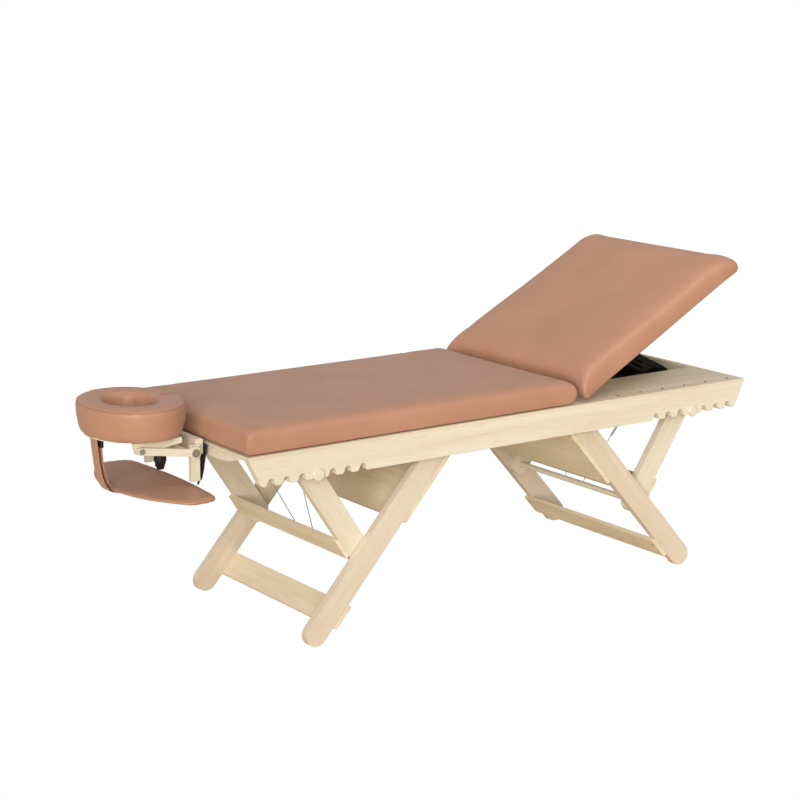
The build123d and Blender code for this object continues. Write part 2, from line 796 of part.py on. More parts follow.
prop_cross = prop_point(prop_cross_place_share * prop_radius, 0)
last_finger = finger_offsets[1] + finger_width / 2
for centre, name in ((-prop_arm_plane, "prop_arm_near"), (prop_arm_plane, "prop_arm_far")):
    with BuildPart() as prop_arm:
        with BuildSketch(side_plane(centre + prop_arm_thickness / 2)):
            with Locations(prop_point(prop_radius / 2, 0)):
                SlotCenterToCenter(prop_radius, prop_arm_width, rotation=prop_turn)
            with BuildLine():
                Polyline(prop_point(web_start, 0), prop_point(finger_root, last_finger),
                         prop_point(finger_root + finger_width, last_finger),
                         prop_point(web_end, 0), close=True)
            make_face()
            for finger_offset, tip in zip(finger_offsets, finger_tips):
                with Locations(prop_point((tip + finger_root) / 2, finger_offset)):
                    Rectangle(finger_root - tip, finger_width, rotation=prop_turn)
            with Locations(prop_top):
                Circle(prop_pin_radius + pin_clearance, mode=Mode.SUBTRACT)
            with Locations(prop_foot):
                Circle(prop_foot_radius, mode=Mode.SUBTRACT)
            with Locations(prop_cross):
                Circle(prop_cross_radius, mode=Mode.SUBTRACT)
        extrude(amount=prop_arm_thickness)
    export(prop_arm.part, name)

cross_half = prop_arm_plane + prop_arm_thickness / 2
with BuildPart() as prop_rods:
    with BuildSketch(side_plane(prop_foot_reach)):
        with Locations(prop_foot):
            Circle(prop_foot_radius)
    extrude(amount=2 * prop_foot_reach)
    with BuildSketch(side_plane(cross_half)):
        with Locations(prop_cross):
            Circle(prop_cross_radius)
    extrude(amount=2 * cross_half)
export(prop_rods.part, "prop_rods")

bracket_inner = prop_arm_plane - prop_arm_thickness / 2 - bracket_gap
bracket_outer = prop_arm_plane + prop_arm_thickness / 2 + bracket_gap
bracket_span = bracket_outer - bracket_inner + 2 * bracket_thickness
flange_above = backrest_lift - bracket_thickness / 2
with BuildPart() as prop_brackets:
    for y_far in (bracket_outer + bracket_thickness, bracket_inner,
                  -bracket_inner + bracket_thickness, -bracket_outer):
        with BuildSketch(side_plane(y_far)):
            with Locations(prop_top):
                Circle(bracket_width / 2)
            with Locations(backrest_point(prop_along, (backrest_lift - prop_drop) / 2)):
                Rectangle(bracket_width, backrest_lift + prop_drop, rotation=backrest_tilt)
        extrude(amount=bracket_thickness)
    for y_far in (bracket_outer + bracket_thickness, -bracket_inner + bracket_thickness):
        with BuildSketch(side_plane(y_far)):
            with Locations(backrest_point(prop_along, flange_above)):
                Rectangle(bracket_flange_length, bracket_thickness, rotation=backrest_tilt)
        extrude(amount=bracket_span)
        with BuildSketch(side_plane(y_far)):
            with Locations(prop_top):
                Circle(prop_pin_radius)
        extrude(amount=bracket_span)
export(prop_brackets.part, "prop_brackets")


# Face cradle
def from_head(offset):
    """The x of a place measured from the middle of the table towards the head."""
    return table_x - offset


bar_low = from_head(base_bar_start + base_bar_width)
bar_high = from_head(base_bar_start)
with BuildPart() as cradle_base_bar:
    with BuildSketch(side_plane(base_bar_half_length)):
        with Locations(((bar_low + bar_high) / 2, (base_bar_bottom + base_bar_top) / 2)):
            Rectangle(base_bar_width, base_bar_top - base_bar_bottom)
    extrude(amount=2 * base_bar_half_length)
    chamfer(cradle_base_bar.edges().filter_by(Axis.Y), edge_ease)
    with Locations(*[Location((bar_high, sign * base_rod_place, base_rod_height), (0, -90, 0))
                     for sign in (-1, 1)]):
        Cylinder(base_rod_radius, base_rod_bite, align=(Align.CENTER, Align.CENTER, Align.MIN),
                 mode=Mode.SUBTRACT)
export(cradle_base_bar.part, "cradle_base_bar")

rod_low = bar_high - base_rod_bite
with BuildPart() as cradle_base_rods:
    with BuildSketch(Plane(origin=(rod_low, 0, 0), x_dir=(0, 1, 0), z_dir=(1, 0, 0))):
        with Locations((-base_rod_place, base_rod_height), (base_rod_place, base_rod_height)):
            Circle(base_rod_radius)
    extrude(amount=from_head(base_rod_end) - rod_low)
export(cradle_base_rods.part, "cradle_base_rods")

post_outside = base_bar_half_length + post_thickness
arm_inside = post_outside + cradle_side_gap
arm_outside = arm_inside + cradle_arm_thickness
pivot_place = (from_head(cradle_pivot_offset), cradle_pivot_height)
platform_place = (from_head(platform_pivot_offset), platform_pivot_height)
with BuildPart() as cradle_posts:
    for y_far in (post_outside, -base_bar_half_length):
        with BuildSketch(side_plane(y_far)):
            with Locations((from_head(post_start + post_width / 2), (post_bottom + post_top) / 2)):
                Rectangle(post_width, post_top - post_bottom)
            with Locations(pivot_place):
                Circle(cradle_bolt_radius, mode=Mode.SUBTRACT)
        extrude(amount=post_thickness)
export(cradle_posts.part, "cradle_posts")

arm_run = pivot_place[0] - platform_place[0]
arm_climb = platform_place[1] - pivot_place[1]
arm_middle = ((pivot_place[0] + platform_place[0]) / 2, (pivot_place[1] + platform_place[1]) / 2)
arm_turn = -degrees(atan2(arm_climb, arm_run))
for y_far, name in ((-arm_inside, "cradle_arm_near"), (arm_outside, "cradle_arm_far")):
    with BuildPart() as cradle_arm:
        with BuildSketch(side_plane(y_far)):
            with Locations(arm_middle):
                SlotCenterToCenter(hypot(arm_run, arm_climb), cradle_arm_depth, rotation=arm_turn)
            with Locations(pivot_place):
                Circle(cradle_arm_end_radius)
            with Locations(pivot_place):
                Circle(cradle_bolt_radius + pin_clearance, mode=Mode.SUBTRACT)
            with Locations(platform_place):
                Circle(cradle_bolt_radius, mode=Mode.SUBTRACT)
        extrude(amount=cradle_arm_thickness)
    export(cradle_arm.part, name)


def build_bolts(place, head_radius, inside, head_gap, name):
    """A bolt on each side of the cradle, with its head outside the arm."""
    with BuildPart() as bolts:
        for sign in (-1, 1):
            head = sign * (arm_outside + head_gap)
            tip = sign * inside
            with BuildSketch(side_plane(max(head, tip))):
                with Locations(place):
                    RegularPolygon(cradle_bolt_radius, hidden_sides)
            extrude(amount=abs(head - tip))
            with BuildSketch(side_plane(head + cradle_bolt_head_height if sign > 0 else head)):
                with Locations(place):
                    Circle(head_radius)
            extrude(amount=cradle_bolt_head_height)
    export(bolts.part, name)


build_bolts(pivot_place, cradle_bolt_head_radius, base_bar_half_length, bolt_head_gap,
            "cradle_pivot_bolts")
build_bolts(platform_place, platform_bolt_head_radius, platform_rail_inside, 0, "platform_bolts")

with BuildPart() as arm_cross_bar:
    with BuildSketch(side_plane(arm_inside)):
        with Locations((from_head(cross_bar_start + cross_bar_width / 2),
                        cross_bar_bottom + cross_bar_height / 2)):
            Rectangle(cross_bar_width, cross_bar_height)
    extrude(amount=2 * arm_inside)
    chamfer(arm_cross_bar.edges().filter_by(Axis.Y), edge_ease)
    with Locations((from_head(knob_offset), 0, cross_bar_bottom + cross_bar_height / 2)):
        Cylinder(knob_stud_radius + pin_clearance, 2 * cross_bar_height, mode=Mode.SUBTRACT)
export(arm_cross_bar.part, "arm_cross_bar")

knob_x = from_head(knob_offset)
stud_top = cross_bar_bottom + cross_bar_height + knob_stud_rise
with BuildPart() as clamp_knob:
    with BuildSketch(Plane.XZ):
        with BuildLine():
            Polyline(
                (knob_x, knob_bottom),
                (knob_x + knob_foot_radius, knob_bottom),
                (knob_x + knob_radius, knob_top - knob_skirt_share * (knob_top - knob_bottom)),
                (knob_x + knob_radius, knob_top),
                (knob_x + knob_stud_radius, knob_top),
                (knob_x + knob_stud_radius, stud_top),
                (knob_x, stud_top),
                close=True,
            )
        make_face()
    revolve(axis=Axis((knob_x, 0, 0), (0, 0, 1)))
export(clamp_knob.part, "clamp_knob")

# Platform and face cushion
with BuildPart() as platform_rails:
    for y_far in (platform_rail_inside + post_thickness, -platform_rail_inside):
        with BuildSketch(side_plane(y_far)):
            with BuildLine():
                Polyline(
                    (platform_place[0], platform_place[1] - platform_rail_radius),
                    (from_head(platform_rail_start), platform_rail_back_bottom),
                    (from_head(platform_rail_start), platform_bottom),
                    (from_head(platform_rail_end), platform_bottom),
                    (platform_place[0] - platform_rail_radius, platform_place[1]),
                    close=True,
                )
            make_face()
            with Locations(platform_place):
                Circle(platform_rail_radius)
            with Locations(platform_place):
                Circle(cradle_bolt_radius + pin_clearance, mode=Mode.SUBTRACT)
        extrude(amount=post_thickness)
export(platform_rails.part, "platform_rails")


def oval_arcs(x, half_length, half_width):
    """The start, middle and end of the four tangent arcs of an oval around (x, 0)."""
    end_radius = oval_end_share * half_length
    rise = half_width - end_radius
    side_radius = (half_length ** 2 + rise ** 2 - end_radius ** 2) / (2 * (half_length - end_radius))
    turn = atan2(rise, side_radius - half_length)
    across = side_radius * cos(turn) - side_radius + half_length
    along = side_radius * sin(turn)
    return (((x + across, -along), (x + half_length, 0), (x + across, along)),
            ((x + across, along), (x, half_width), (x - across, along)),
            ((x - across, along), (x - half_length, 0), (x - across, -along)),
            ((x - across, -along), (x, -half_width), (x + across, -along)))


def build_oval_stack(x, bottom, height, half_length, half_width, inset_shares):
    """A block lofted through oval levels, each drawn in by a share of the height."""
    with BuildPart() as stack:
        for level, inset_share in zip(ring_level_shares, inset_shares):
            inset = inset_share * height
            with BuildSketch(Plane.XY.offset(bottom + level * height)):
                with BuildLine():
                    for start, middle, end in oval_arcs(x, half_length - inset, half_width - inset):
                        ThreePointArc(start, middle, end)
                make_face()
        loft(ruled=True)
    return stack.part


ring_x = from_head(ring_offset)
plate_middle = from_head((platform_start + platform_end) / 2)
plate_half_length = (platform_end - platform_start) / 2
with BuildPart() as platform_plate:
    with BuildSketch(Plane.XY.offset(platform_bottom)):
        with BuildLine():
            for start, middle, end in oval_arcs(plate_middle, plate_half_length, platform_half_width):
                ThreePointArc(start, middle, end)
        make_face()
        with Locations((plate_middle + plate_half_length / 2, 0)):
            Rectangle(plate_half_length, 2 * platform_half_width)
        with BuildLine():
            for start, middle, end in oval_arcs(ring_x, face_hole_half_length, face_hole_half_width):
                ThreePointArc(start, middle, end)
        make_face(mode=Mode.SUBTRACT)
    extrude(amount=platform_thickness)
    corners = platform_plate.edges().filter_by(Axis.Z).group_by(Axis.X)[-1]
    fillet(corners, platform_corner)
export(platform_plate.part, "platform_plate")

ring_bottom = platform_bottom + platform_thickness
ring_block = build_oval_stack(ring_x, ring_bottom, ring_thickness, ring_half_length,
                              ring_half_width, ring_side_inset_shares)
ring_hole = build_oval_stack(ring_x, ring_bottom, ring_thickness, ring_hole_half_length,
                             ring_hole_half_width, [-share for share in ring_hole_flare_shares])
with BuildPart() as face_cushion:
    add(ring_block)
    add(ring_hole, mode=Mode.SUBTRACT)
export(face_cushion.part, "face_cushion")

# Armrest and straps
with BuildPart() as armrest_pad:
    with BuildSketch(Plane.XY.offset(armrest_bottom)) as outline:
        with BuildLine():
            ThreePointArc((from_head(armrest_front_corner), -armrest_half_width),
                          (from_head(armrest_front), 0),
                          (from_head(armrest_front_corner), armrest_half_width))
            Line((from_head(armrest_front_corner), armrest_half_width),
                 (from_head(armrest_rear_corner), armrest_rear_half_width))
            ThreePointArc((from_head(armrest_rear_corner), armrest_rear_half_width),
                          (from_head(armrest_rear), 0),
                          (from_head(armrest_rear_corner), -armrest_rear_half_width))
            Line((from_head(armrest_rear_corner), -armrest_rear_half_width),
                 (from_head(armrest_front_corner), -armrest_half_width))
        make_face()
        fillet(outline.vertices(), armrest_corner_round)
    extrude(amount=armrest_thickness)
    chamfer(armrest_pad.edges().group_by(Axis.Z)[-1], armrest_edge_ease)
    chamfer(armrest_pad.edges().group_by(Axis.Z)[0], armrest_edge_ease)
    with Locations((from_head(strap_slot_offset), 0, armrest_bottom + armrest_thickness / 2)):
        Box(strap_thickness + 2 * strap_slot_gap, strap_width + 2 * strap_slot_gap,
            2 * armrest_thickness, mode=Mode.SUBTRACT)
export(armrest_pad.part, "armrest_pad")

strap_low = armrest_bottom - strap_gap - strap_thickness
strap_front = armrest_front + strap_gap + strap_thickness
strap_back = strap_slot_offset - strap_thickness / 2
with BuildPart() as armrest_front_strap:
    with BuildSketch(side_plane(strap_width / 2)):
        with BuildLine():
            Polyline(
                *[(from_head(x), deck_height + z) for x, z in strap_outline],
                (from_head(strap_front), armrest_bottom),
                (from_head(strap_front), strap_low),
                (from_head(strap_back), strap_low),
                (from_head(strap_back), armrest_bottom + 2 * armrest_thickness),
                *[(from_head(x), deck_height + z) for x, z in strap_inner_outline],
                close=True,
            )
        make_face()
        offset(amount=-strap_thickness, kind=Kind.INTERSECTION, mode=Mode.SUBTRACT)
    extrude(amount=strap_width)
export(armrest_front_strap.part, "armrest_front_strap")

with BuildPart() as armrest_rear_straps:
    for sign in (-1, 1):
        with BuildSketch(side_plane(sign * rear_strap_place + rear_strap_thickness / 2)):
            with BuildLine():
                Polyline(
                    (from_head(rear_strap_top_end), deck_height),
                    (from_head(rear_strap_top_start), deck_height),
                    (from_head(rear_strap_bottom_start), armrest_bottom + armrest_thickness),
                    (from_head(rear_strap_bottom_end), armrest_bottom + armrest_thickness),
                    close=True,
                )
            make_face()
        extrude(amount=rear_strap_thickness)
export(armrest_rear_straps.part, "armrest_rear_straps")
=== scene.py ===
from math import atan2, cos, pi, radians, sin, sqrt

import bmesh
import bpy
from mathutils import Matrix, Vector
from mathutils.bvhtree import BVHTree


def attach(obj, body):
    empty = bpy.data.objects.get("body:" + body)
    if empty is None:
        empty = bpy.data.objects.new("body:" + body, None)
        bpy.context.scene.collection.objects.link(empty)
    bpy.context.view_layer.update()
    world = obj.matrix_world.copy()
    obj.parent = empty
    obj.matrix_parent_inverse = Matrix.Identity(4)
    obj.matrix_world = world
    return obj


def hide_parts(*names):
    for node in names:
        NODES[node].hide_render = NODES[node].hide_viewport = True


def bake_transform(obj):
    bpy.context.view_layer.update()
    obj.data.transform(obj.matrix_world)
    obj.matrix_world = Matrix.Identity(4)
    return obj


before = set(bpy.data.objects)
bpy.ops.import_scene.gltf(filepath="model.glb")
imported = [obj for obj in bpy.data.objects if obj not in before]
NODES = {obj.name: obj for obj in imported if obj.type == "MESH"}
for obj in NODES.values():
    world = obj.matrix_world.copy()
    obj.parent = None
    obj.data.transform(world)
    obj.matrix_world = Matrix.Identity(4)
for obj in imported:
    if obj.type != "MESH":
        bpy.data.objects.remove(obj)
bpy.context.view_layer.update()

# Sizes of the part in metres, and its tilt; the board's top is taken 0.05 mm above the solid's
TABLE_X = 0.163
DECK_TOP = 0.591
HINGE = Vector((TABLE_X + 0.273, 0.0, 0.59315))
TILT = radians(29.0)
BOARD_LIFT = 0.00215
BOARD_TOP = 0.01120
BOARD_START, BOARD_END, BOARD_HALF = 0.014, 0.676, 0.3295

# Camera, solved from the corners of the wooden frame
camera = bpy.data.objects.new("camera", bpy.data.cameras.new("camera"))
bpy.context.scene.collection.objects.link(camera)
bpy.context.scene.camera = camera
camera.data.sensor_width = 36.0
camera.data.lens = 91.46
camera_place = (TABLE_X - 3.648, -4.974, 1.939)
right = Vector((0.8200, -0.5723, 0.0)).normalized()
ahead = Vector((0.5588, 0.8006, -0.2165)).normalized()
up = right.cross(ahead).normalized()
camera_turn = Matrix((right, up, -ahead)).transposed().to_4x4()
camera.matrix_world = Matrix.Translation(camera_place) @ camera_turn


# Materials
def linear(r, g, b):
    """A colour given as screen values from 0 to 255, made linear."""
    def one(v):
        v /= 255.0
        return v / 12.92 if v <= 0.04045 else ((v + 0.055) / 1.055) ** 2.4
    return (one(r), one(g), one(b), 1.0)


def new_material(name):
    mat = bpy.data.materials.new(name)
    mat.use_nodes = True
    tree = mat.node_tree
    return mat, tree, tree.nodes["Principled BSDF"]


def add(tree, kind, **values):
    node = tree.nodes.new(kind)
    for key, value in values.items():
        setattr(node, key, value)
    return node


def ramp(tree, source, stops):
    node = add(tree, "ShaderNodeValToRGB")
    elements = node.color_ramp.elements
    while len(elements) < len(stops):
        elements.new(0.5)
    for element, (place, colour) in zip(elements, stops):
        element.position = place
        element.color = colour
    tree.links.new(source, node.inputs["Fac"])
    return node


def bump(tree, bsdf, height, strength, distance, normal=None):
    node = add(tree, "ShaderNodeBump")
    node.inputs["Strength"].default_value = strength
    node.inputs["Distance"].default_value = distance
    tree.links.new(height, node.inputs["Height"])
    if normal:
        tree.links.new(normal, node.inputs["Normal"])
    tree.links.new(node.outputs["Normal"], bsdf.inputs["Normal"])


def wood(name, turn, light=(223, 213, 191), dark=(214, 200, 173), roughness=0.42):
    """Pale varnished wood whose grain runs along X after the turn."""
    mat, tree, bsdf = new_material(name)
    coords = add(tree, "ShaderNodeTexCoord")
    rotate = add(tree, "ShaderNodeMapping")
    rotate.inputs["Rotation"].default_value = turn
    tree.links.new(coords.outputs["Object"], rotate.inputs["Vector"])
    stretch = add(tree, "ShaderNodeMapping")
    stretch.inputs["Scale"].default_value = (1.6, 26.0, 26.0)
    tree.links.new(rotate.outputs["Vector"], stretch.inputs["Vector"])
    broad = add(tree, "ShaderNodeTexNoise")
    broad.inputs["Scale"].default_value = 1.0
    broad.inputs["Detail"].default_value = 5.0
    broad.inputs["Roughness"].default_value = 0.6
    broad.inputs["Distortion"].default_value = 0.5
    tree.links.new(stretch.outputs["Vector"], broad.inputs["Vector"])
    fine = add(tree, "ShaderNodeTexNoise")
    fine.inputs["Scale"].default_value = 9.0
    fine.inputs["Detail"].default_value = 2.0
    tree.links.new(stretch.outputs["Vector"], fine.inputs["Vector"])
    base = ramp(tree, broad.outputs["Fac"], [(0.30, linear(*dark)), (0.62, linear(*light))])
    pores = ramp(tree, fine.outputs["Fac"], [(0.30, (0.90, 0.87, 0.82, 1)), (0.45, (1, 1, 1, 1))])
    mix = add(tree, "ShaderNodeMix", data_type="RGBA", blend_type="MULTIPLY")
    mix.inputs["Factor"].default_value = 0.8
    tree.links.new(base.outputs["Color"], mix.inputs["A"])
    tree.links.new(pores.outputs["Color"], mix.inputs["B"])
    tree.links.new(mix.outputs["Result"], bsdf.inputs["Base Color"])
    bsdf.inputs["Roughness"].default_value = roughness
    bsdf.inputs["Coat Weight"].default_value = 0.15
    bsdf.inputs["Coat Roughness"].default_value = 0.25
    bevel = add(tree, "ShaderNodeBevel", samples=4)
    bevel.inputs["Radius"].default_value = 0.0018
    bump(tree, bsdf, fine.outputs["Fac"], 0.08, 0.0004, bevel.outputs["Normal"])
    return mat


def leatherette(name, colour, roughness=0.46):
    """Coated upholstery with a fine pebbled grain."""
    mat, tree, bsdf = new_material(name)
    coords = add(tree, "ShaderNodeTexCoord")
    cells = add(tree, "ShaderNodeTexVoronoi", feature="SMOOTH_F1")
    cells.inputs["Scale"].default_value = 700.0
    tree.links.new(coords.outputs["Object"], cells.inputs["Vector"])
    cloud = add(tree, "ShaderNodeTexNoise")
    cloud.inputs["Scale"].default_value = 6.0
    cloud.inputs["Detail"].default_value = 3.0
    tree.links.new(coords.outputs["Object"], cloud.inputs["Vector"])
    r, g, b, _ = linear(*colour)
    shade = ramp(tree, cloud.outputs["Fac"], [
        (0.3, (r * 0.93, g * 0.92, b * 0.91, 1)), (0.7, (r * 1.04, g * 1.04, b * 1.04, 1))])
    tree.links.new(shade.outputs["Color"], bsdf.inputs["Base Color"])
    bsdf.inputs["Roughness"].default_value = roughness
    bsdf.inputs["Specular IOR Level"].default_value = 0.42
    bsdf.inputs["Sheen Weight"].default_value = 0.08
    bump(tree, bsdf, cells.outputs["Distance"], 0.16, 0.0006)
    return mat


def plain(name, colour, roughness, metallic=0.0, grain=900.0, depth=0.05):
    """Metal, plastic or webbing with a very fine uneven surface."""
    mat, tree, bsdf = new_material(name)
    coords = add(tree, "ShaderNodeTexCoord")
    noise = add(tree, "ShaderNodeTexNoise")
    noise.inputs["Scale"].default_value = grain
    tree.links.new(coords.outputs["Object"], noise.inputs["Vector"])
    r, g, b, _ = linear(*colour)
    shade = ramp(tree, noise.outputs["Fac"], [
        (0.3, (r * 0.9, g * 0.9, b * 0.9, 1)), (0.7, (r * 1.06, g * 1.06, b * 1.06, 1))])
    tree.links.new(shade.outputs["Color"], bsdf.inputs["Base Color"])
    bsdf.inputs["Roughness"].default_value = roughness
    bsdf.inputs["Metallic"].default_value = metallic
    bump(tree, bsdf, noise.outputs["Fac"], depth, 0.0003)
    return mat


LEG_TURN = radians(48.65)
BRACE_TURN = radians(56.6)
M = {
    "x": wood("beech_along_x", (0, 0, 0)),
    "y": wood("beech_along_y", (0, 0, radians(90))),
    "z": wood("beech_along_z", (0, radians(90), 0)),
    "head_leg": wood("beech_head_leg", (0, LEG_TURN, 0), (216, 201, 179), (208, 188, 162)),
    "foot_leg": wood("beech_foot_leg", (0, -LEG_TURN, 0), (216, 201, 179), (208, 188, 162)),
    "head_brace": wood("beech_head_brace", (0, -BRACE_TURN, 0)),
    "foot_brace": wood("beech_foot_brace", (0, BRACE_TURN, 0)),
    "ply": wood("plywood_along_y", (0, 0, radians(90)), (229, 212, 184), (215, 193, 158), 0.5),
    "deck": wood("plywood_deck", (0, 0, 0), (222, 207, 180), (210, 194, 165), 0.55),
    "skin": leatherette("mocha_leatherette", (178, 129, 102)),
    "seam": leatherette("seam_leatherette", (160, 114, 90), 0.55),
    "black": plain("black_steel", (22, 22, 23), 0.42, 0.6),
    "plastic": plain("black_plastic", (20, 20, 21), 0.5),
    "web": plain("black_webbing", (24, 24, 25), 0.85, 0.0, 1400.0, 0.4),
    "steel": plain("zinc_steel", (190, 190, 186), 0.32, 1.0),
    "wire": plain("grey_wire", (120, 122, 120), 0.45, 0.7),
}


def dress(obj, mat):
    obj.data.materials.clear()
    obj.data.materials.append(mat)


for name, obj in NODES.items():
    if name.endswith(("leg_near", "leg_far")):
        dress(obj, M[name[:8]])
    elif name.endswith(("brace_near", "brace_far")):
        dress(obj, M[name[:10]])
    elif name.endswith(("gusset", "stretcher")):
        dress(obj, M["ply"])
    elif name in ("rail_near", "rail_far", "rack_battens", "cradle_base_rods", "cradle_arm_near",
                  "cradle_arm_far", "platform_rails"):
        dress(obj, M["x"])
    elif name in ("deck", "backrest_board", "platform_plate"):
        dress(obj, M["deck"])
    elif name == "cradle_posts":
        dress(obj, M["z"])
    elif name.startswith(("rack_", "prop_")):
        dress(obj, M["black"])
    elif name in ("cradle_pivot_bolts", "platform_bolts"):
        dress(obj, M["steel"])
    elif name == "clamp_knob":
        dress(obj, M["plastic"])
    elif name.startswith(("hinge_deck", "hinge_board", "hinge_pins", "leg_pivot")) \
            or name.endswith("screws"):
        dress(obj, M["steel"])
    elif name == "spring_eyes" or name.endswith("springs"):
        dress(obj, M["wire"])
    elif name == "armrest_rear_straps":
        dress(obj, M["web"])
    elif name.endswith(("cushion", "pad", "front_strap")):
        dress(obj, M["skin"])
    else:
        dress(obj, M["y"])


# Making objects
def link(name, mesh, mat, smooth=True):
    obj = bpy.data.objects.new(name, mesh)
    bpy.context.scene.collection.objects.link(obj)
    dress(obj, mat)
    if smooth:
        mesh.polygons.foreach_set("use_smooth", [True] * len(mesh.polygons))
    return obj


def finished(obj):
    """Applies an object's modifiers and returns the object."""
    bpy.context.view_layer.update()
    graph = bpy.context.evaluated_depsgraph_get()
    mesh = bpy.data.meshes.new_from_object(obj.evaluated_get(graph), depsgraph=graph)
    obj.modifiers.clear()
    old = obj.data
    obj.data = mesh
    if old.users == 0:
        bpy.data.meshes.remove(old)
    return obj


def hull_of(name):
    """The closed outer form of a cushion's solid."""
    mesh = bmesh.new()
    mesh.from_mesh(NODES[name].data)
    bmesh.ops.remove_doubles(mesh, verts=mesh.verts, dist=1e-5)
    out = bmesh.ops.convex_hull(mesh, input=mesh.verts)
    bmesh.ops.delete(mesh, geom=[g for g in out["geom_interior"] + out["geom_unused"]
                                 if isinstance(g, bmesh.types.BMVert)], context="VERTS")
    bmesh.ops.delete(mesh, geom=[f for f in mesh.faces if not f.is_valid], context="FACES")
    bmesh.ops.recalc_face_normals(mesh, faces=mesh.faces)
    result = bpy.data.meshes.new(name + "_form")
    mesh.to_mesh(result)
    mesh.free()
    return result


def merged(name):
    """A piece's mesh with its doubled points made one."""
    mesh = bmesh.new()
    mesh.from_mesh(NODES[name].data)
    bmesh.ops.remove_doubles(mesh, verts=mesh.verts, dist=1e-5)
    result = bpy.data.meshes.new(name + "_form")
    mesh.to_mesh(result)
    mesh.free()
    return result


def puff(obj, voxel, cap, shrink, frames=20, pressure=4.0):
    """Remeshes and shrinks a closed form, then swells it with air pressure by the cap at most."""
    remesh = obj.modifiers.new("remesh", "REMESH")
    remesh.mode = "VOXEL"
    remesh.voxel_size = voxel
    finished(obj)
    mesh = obj.data
    normals = [v.normal.copy() for v in mesh.vertices]
    for v, n in zip(mesh.vertices, normals):
        v.co -= n * shrink
    start = [v.co.copy() for v in mesh.vertices]
    cloth = obj.modifiers.new("cloth", "CLOTH")
    s = cloth.settings
    s.quality = 4
    s.mass = 0.35
    s.use_pressure = True
    s.uniform_pressure_force = pressure
    s.tension_stiffness = 22.0
    s.compression_stiffness = 22.0
    s.bending_stiffness = 2.0
    s.effector_weights.gravity = 0.0
    cloth.collision_settings.use_collision = False
    cloth.point_cache.frame_start = 1
    cloth.point_cache.frame_end = frames
    scene = bpy.context.scene
    for frame_number in range(1, frames + 1):
        scene.frame_set(frame_number)
    finished(obj)
    scene.frame_set(1)
    for v, old in zip(obj.data.vertices, start):
        move = v.co - old
        if move.length > cap:
            v.co = old + move.normalized() * cap
    return obj


def smoothed(obj):
    soft = obj.modifiers.new("smooth", "SMOOTH")
    soft.factor = 0.5
    soft.iterations = 2
    return finished(obj)


def shaded(obj):
    obj.data.polygons.foreach_set("use_smooth", [True] * len(obj.data.polygons))
    obj.data.update()


def tree_of(obj):
    return BVHTree.FromPolygons([v.co for v in obj.data.vertices],
                                [p.vertices[:] for p in obj.data.polygons])


def tube(name, paths, radius, mat, sides=8, closed=False):
    """Round tubes along lines of points, all in one mesh."""
    mesh = bmesh.new()
    for path in paths:
        rings = []
        count = len(path)
        side = None
        for i, point in enumerate(path):
            if closed:
                run = path[(i + 1) % count] - path[i - 1]
            else:
                run = path[min(i + 1, count - 1)] - path[max(i - 1, 0)]
            run.normalize()
            if side is None:
                side = run.orthogonal().normalized()
            side = (side - run * side.dot(run)).normalized()
            other = run.cross(side)
            rings.append([mesh.verts.new(point + radius * (cos(a) * side + sin(a) * other))
                          for a in (2 * pi * k / sides for k in range(sides))])
        for i in range(count if closed else count - 1):
            a, b = rings[i], rings[(i + 1) % count]
            if closed and i == count - 1:
                turn = min(range(sides), key=lambda t: (b[t].co - a[0].co).length)
                b = b[turn:] + b[:turn]
            for k in range(sides):
                mesh.faces.new((a[k], a[(k + 1) % sides], b[(k + 1) % sides], b[k]))
        if not closed:
            mesh.faces.new(rings[0][::-1])
            mesh.faces.new(rings[-1])
    bmesh.ops.recalc_face_normals(mesh, faces=mesh.faces)
    result = bpy.data.meshes.new(name)
    mesh.to_mesh(result)
    mesh.free()
    return link(name, result, mat)


def laid_on(tree, points, lift):
    """Points dropped on the nearest place of a surface, raised a little off it."""
    out = []
    for p in points:
        place, normal, _, _ = tree.find_nearest(p)
        out.append(place + normal * lift)
    return out


def resample(points, step, closed=False):
    """Evenly spaced points along a line."""
    line = list(points) + ([points[0]] if closed else [])
    out = [line[0].copy()]
    left = step
    for a, b in zip(line, line[1:]):
        length = (b - a).length
        done = 0.0
        while length - done >= left:
            done += left
            out.append(a.lerp(b, done / length))
            left = step
        left -= length - done
    return out


# Main cushion
main = puff(link("main_cushion_pad", hull_of("main_cushion"), M["skin"]),
            voxel=0.0075, cap=0.0045, shrink=0.0030)
for v in main.data.vertices:
    v.co.z = max(v.co.z, DECK_TOP)
smoothed(main)
for v in main.data.vertices:
    v.co.z = max(v.co.z, DECK_TOP + 0.0001)
shaded(main)

# Backrest cushion, made flat and then tilted
to_world = Matrix.Translation(HINGE) @ Matrix.Rotation(-TILT, 4, "Y")
back_form = hull_of("backrest_cushion")
back_form.transform(to_world.inverted())
back = puff(link("backrest_cushion_pad", back_form, M["skin"]),
            voxel=0.0075, cap=0.0050, shrink=0.0030)
smoothed(back)


def over_board(p):
    """Whether a point lies over the backrest's board, a little inside its edges."""
    inset = 0.004
    return BOARD_START + inset < p.x < BOARD_END - inset and abs(p.y) < BOARD_HALF - inset


def seat_on_board(mesh):
    """Lifts the pad's underside onto the board, and beside it no lower than the board's own."""
    for v in mesh.vertices:
        if v.co.z < BOARD_TOP and over_board(v.co):
            v.co.z = BOARD_TOP + 0.0002
        v.co.z = max(v.co.z, BOARD_LIFT)


